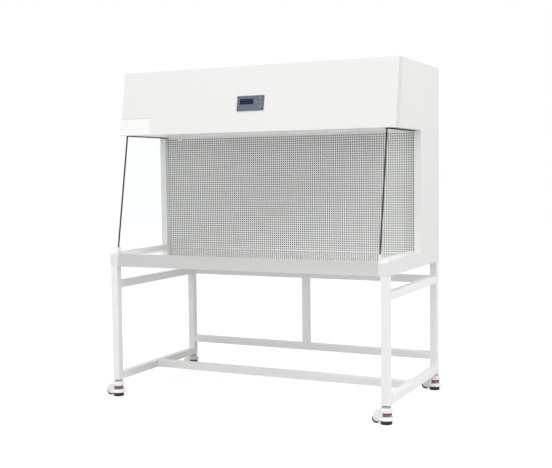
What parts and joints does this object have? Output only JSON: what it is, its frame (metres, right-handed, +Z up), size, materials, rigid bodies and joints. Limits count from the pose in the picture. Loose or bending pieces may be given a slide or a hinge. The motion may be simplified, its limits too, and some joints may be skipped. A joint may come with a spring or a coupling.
{
  "type": "laminar flow hood",
  "caption": "Horizontal laminar flow cabinet with an open front, side glass and a perforated rear diffuser, on a square tube stand with levelling casters.",
  "frame": {"origin": "centre of the footprint on the floor, halfway between the casters' outermost reaches", "axes": "+X to the right seen from the open front, +Y from the open front to the back, +Z up"},
  "size_m": [1.567, 0.836, 1.67],
  "materials": {
    "white_paint": "semi-gloss powder coat",
    "cover_paint": "semi-gloss powder coat",
    "stainless": "polished stainless sheet",
    "perforated": "perforated sheet, satin",
    "clear_glass": "clear toughened glass",
    "white_profile": "satin",
    "black_profile": "matt",
    "bezel_grey": "satin",
    "screen_blue": "glossy",
    "key_grey": "satin",
    "board_green": "matt",
    "lamp_white": "glossy",
    "filter_metal": "mill finish",
    "filter_paper": "matt",
    "filter_pad": "matt",
    "inlet_black": "matt",
    "galvanised": "zinc plated",
    "motor_dark": "matt",
    "caster_steel": "zinc plated",
    "caster_ivory": "painted casting",
    "wheel_black": "satin",
    "dial_red": "satin",
    "pad_black": "matt"
  },
  "bodies": {
    "cabinet": {"leg_front_left": "white_paint", "leg_front_right": "white_paint", "leg_rear_left": "white_paint", "leg_rear_right": "white_paint", "leg_rear_middle": "white_paint", "rail_upper_left": "white_paint", "rail_upper_right": "white_paint", "rail_lower_left": "white_paint", "rail_lower_right": "white_paint", "beam_rear": "white_paint", "stretcher_rear": "white_paint", "foot_rest_bar": "white_paint", "side_panel_left": "cover_paint", "side_panel_right": "cover_paint", "front_cover": "cover_paint", "top_cover": "cover_paint", "rear_cover": "cover_paint", "canopy_floor": "cover_paint", "diffuser": "perforated", "worktop": "stainless", "glass_left": "clear_glass", "glass_right": "clear_glass", "glass_channels": "white_profile", "glass_edges": "black_profile", "display_bezel": "bezel_grey", "display_screen": "screen_blue", "control_board": "board_green", "lamp_tube": "lamp_white", "lamp_holders": "lamp_white", "hook": "white_paint", "filter_frame": "filter_metal", "filter_pleats": "filter_paper", "prefilter": "filter_pad", "power_inlet": "inlet_black", "blower_housing_left": "galvanised", "blower_housing_right": "galvanised", "fan_motors": "motor_dark", "caster_stems": "caster_steel"},
    "key_power_body": {"key_power": "key_grey"},
    "key_up_body": {"key_up": "key_grey"},
    "key_down_body": {"key_down": "key_grey"},
    "key_lamp_body": {"key_lamp": "key_grey"},
    "impeller_left_body": {"impeller_left": "galvanised"},
    "impeller_right_body": {"impeller_right": "galvanised"},
    "caster_body_front_left_body": {"caster_body_front_left": "caster_ivory"},
    "wheel_front_left_body": {"wheel_front_left": "wheel_black"},
    "dial_front_left_body": {"dial_front_left": "dial_red"},
    "foot_front_left_body": {"foot_front_left": "pad_black"},
    "caster_body_front_right_body": {"caster_body_front_right": "caster_ivory"},
    "wheel_front_right_body": {"wheel_front_right": "wheel_black"},
    "dial_front_right_body": {"dial_front_right": "dial_red"},
    "foot_front_right_body": {"foot_front_right": "pad_black"},
    "caster_body_rear_left_body": {"caster_body_rear_left": "caster_ivory"},
    "wheel_rear_left_body": {"wheel_rear_left": "wheel_black"},
    "dial_rear_left_body": {"dial_rear_left": "dial_red"},
    "foot_rear_left_body": {"foot_rear_left": "pad_black"},
    "caster_body_rear_right_body": {"caster_body_rear_right": "caster_ivory"},
    "wheel_rear_right_body": {"wheel_rear_right": "wheel_black"},
    "dial_rear_right_body": {"dial_rear_right": "dial_red"},
    "foot_rear_right_body": {"foot_rear_right": "pad_black"}
  },
  "joints": [
    {"name": "key_power_press", "type": "slide", "parent": "cabinet", "child": "key_power_body", "axis": [0, 0.9842, -0.1771], "range_m": [0, 0.001], "stiffness_N_per_m": 500, "springref_m": -0.002},
    {"name": "key_up_press", "type": "slide", "parent": "cabinet", "child": "key_up_body", "axis": [0, 0.9842, -0.1771], "range_m": [0, 0.001], "stiffness_N_per_m": 500, "springref_m": -0.002},
    {"name": "key_down_press", "type": "slide", "parent": "cabinet", "child": "key_down_body", "axis": [0, 0.9842, -0.1771], "range_m": [0, 0.001], "stiffness_N_per_m": 500, "springref_m": -0.002},
    {"name": "key_lamp_press", "type": "slide", "parent": "cabinet", "child": "key_lamp_body", "axis": [0, 0.9842, -0.1771], "range_m": [0, 0.001], "stiffness_N_per_m": 500, "springref_m": -0.002},
    {"name": "impeller_left_spin", "type": "hinge", "parent": "cabinet", "child": "impeller_left_body", "pos_m": [-0.3545, 0.246, 1.506], "axis": [1, 0, 0], "continuous": true},
    {"name": "impeller_right_spin", "type": "hinge", "parent": "cabinet", "child": "impeller_right_body", "pos_m": [0.3855, 0.246, 1.506], "axis": [1, 0, 0], "continuous": true},
    {"name": "caster_front_left_swivel", "type": "hinge", "parent": "cabinet", "child": "caster_body_front_left_body", "pos_m": [-0.7155, -0.381, 0.06], "axis": [0, 0, 1], "continuous": true},
    {"name": "wheel_front_left_roll", "type": "hinge", "parent": "caster_body_front_left_body", "child": "wheel_front_left_body", "pos_m": [-0.763, -0.381, 0.0225], "axis": [0, 1, 0], "continuous": true},
    {"name": "dial_front_left_turn", "type": "hinge", "parent": "caster_body_front_left_body", "child": "dial_front_left_body", "pos_m": [-0.7155, -0.381, 0.047], "axis": [0, 0, 1], "range_deg": [-1260, 900]},
    {"name": "foot_front_left_lift", "type": "slide", "parent": "caster_body_front_left_body", "child": "foot_front_left_body", "axis": [0, 0, 1], "range_m": [-0.007, 0.005]},
    {"name": "caster_front_right_swivel", "type": "hinge", "parent": "cabinet", "child": "caster_body_front_right_body", "pos_m": [0.7465, -0.381, 0.06], "axis": [0, 0, 1], "continuous": true},
    {"name": "wheel_front_right_roll", "type": "hinge", "parent": "caster_body_front_right_body", "child": "wheel_front_right_body", "pos_m": [0.699, -0.381, 0.0225], "axis": [0, 1, 0], "continuous": true},
    {"name": "dial_front_right_turn", "type": "hinge", "parent": "caster_body_front_right_body", "child": "dial_front_right_body", "pos_m": [0.7465, -0.381, 0.047], "axis": [0, 0, 1], "range_deg": [-1260, 900]},
    {"name": "foot_front_right_lift", "type": "slide", "parent": "caster_body_front_right_body", "child": "foot_front_right_body", "axis": [0, 0, 1], "range_m": [-0.007, 0.005]},
    {"name": "caster_rear_left_swivel", "type": "hinge", "parent": "cabinet", "child": "caster_body_rear_left_body", "pos_m": [-0.7155, 0.381, 0.06], "axis": [0, 0, 1], "continuous": true},
    {"name": "wheel_rear_left_roll", "type": "hinge", "parent": "caster_body_rear_left_body", "child": "wheel_rear_left_body", "pos_m": [-0.763, 0.381, 0.0225], "axis": [0, 1, 0], "continuous": true},
    {"name": "dial_rear_left_turn", "type": "hinge", "parent": "caster_body_rear_left_body", "child": "dial_rear_left_body", "pos_m": [-0.7155, 0.381, 0.047], "axis": [0, 0, 1], "range_deg": [-1260, 900]},
    {"name": "foot_rear_left_lift", "type": "slide", "parent": "caster_body_rear_left_body", "child": "foot_rear_left_body", "axis": [0, 0, 1], "range_m": [-0.007, 0.005]},
    {"name": "caster_rear_right_swivel", "type": "hinge", "parent": "cabinet", "child": "caster_body_rear_right_body", "pos_m": [0.7465, 0.381, 0.06], "axis": [0, 0, 1], "continuous": true},
    {"name": "wheel_rear_right_roll", "type": "hinge", "parent": "caster_body_rear_right_body", "child": "wheel_rear_right_body", "pos_m": [0.699, 0.381, 0.0225], "axis": [0, 1, 0], "continuous": true},
    {"name": "dial_rear_right_turn", "type": "hinge", "parent": "caster_body_rear_right_body", "child": "dial_rear_right_body", "pos_m": [0.7465, 0.381, 0.047], "axis": [0, 0, 1], "range_deg": [-1260, 900]},
    {"name": "foot_rear_right_lift", "type": "slide", "parent": "caster_body_rear_right_body", "child": "foot_rear_right_body", "axis": [0, 0, 1], "range_m": [-0.007, 0.005]}
  ],
  "couplings": [
    {"joint": "foot_front_left_lift", "follows": "dial_front_left_turn", "m_per_rad": 0.000318},
    {"joint": "foot_front_right_lift", "follows": "dial_front_right_turn", "m_per_rad": 0.000318},
    {"joint": "foot_rear_left_lift", "follows": "dial_rear_left_turn", "m_per_rad": 0.000318},
    {"joint": "foot_rear_right_lift", "follows": "dial_rear_right_turn", "m_per_rad": 0.000318}
  ]
}
